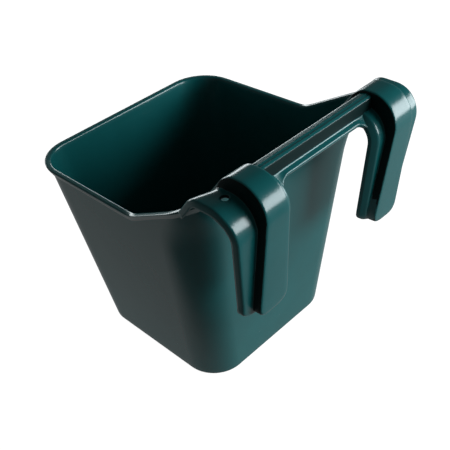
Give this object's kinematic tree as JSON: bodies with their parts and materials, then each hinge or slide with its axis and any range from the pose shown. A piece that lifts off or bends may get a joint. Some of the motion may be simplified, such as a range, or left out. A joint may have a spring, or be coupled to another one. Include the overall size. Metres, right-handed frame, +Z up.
{
  "type": "hook-over feed bucket",
  "caption": "Moulded stable feed bucket with a low open front, a high back wall and broad rear hooks that hang it over a rail or door, with a grip bar between the hooks",
  "frame": {"origin": "centre of the overall width and depth, on the standing face of the base", "axes": "+Z up, -Y towards the open front where the horse feeds, +Y towards the rail and the hooks, +X the bucket's left hand seen from the hooks; the part is a mirror image of itself about X = 0"},
  "size_m": [0.3296, 0.371, 0.3505],
  "materials": {
    "tub_plastic": "glossy dark green moulded polypropylene",
    "hook_plastic": "glossy dark green moulded polypropylene, polished by handling"
  },
  "bodies": {
    "root": {"floor": "tub_plastic", "front_wall": "tub_plastic", "back_wall": "tub_plastic", "left_wall": "tub_plastic", "right_wall": "tub_plastic", "front_left_corner": "tub_plastic", "front_right_corner": "tub_plastic", "back_left_corner": "tub_plastic", "back_right_corner": "tub_plastic", "front_rim": "tub_plastic", "front_left_rim": "tub_plastic", "front_right_rim": "tub_plastic", "left_rim": "tub_plastic", "right_rim": "tub_plastic", "back_rim": "tub_plastic", "left_hook_root": "hook_plastic", "left_hook_rib": "hook_plastic", "left_outer_flange": "hook_plastic", "left_inner_flange": "hook_plastic", "right_hook_root": "hook_plastic", "right_hook_rib": "hook_plastic", "right_outer_flange": "hook_plastic", "right_inner_flange": "hook_plastic", "grip_bar": "hook_plastic", "grip_bar_lip": "hook_plastic"}
  },
  "joints": []
}
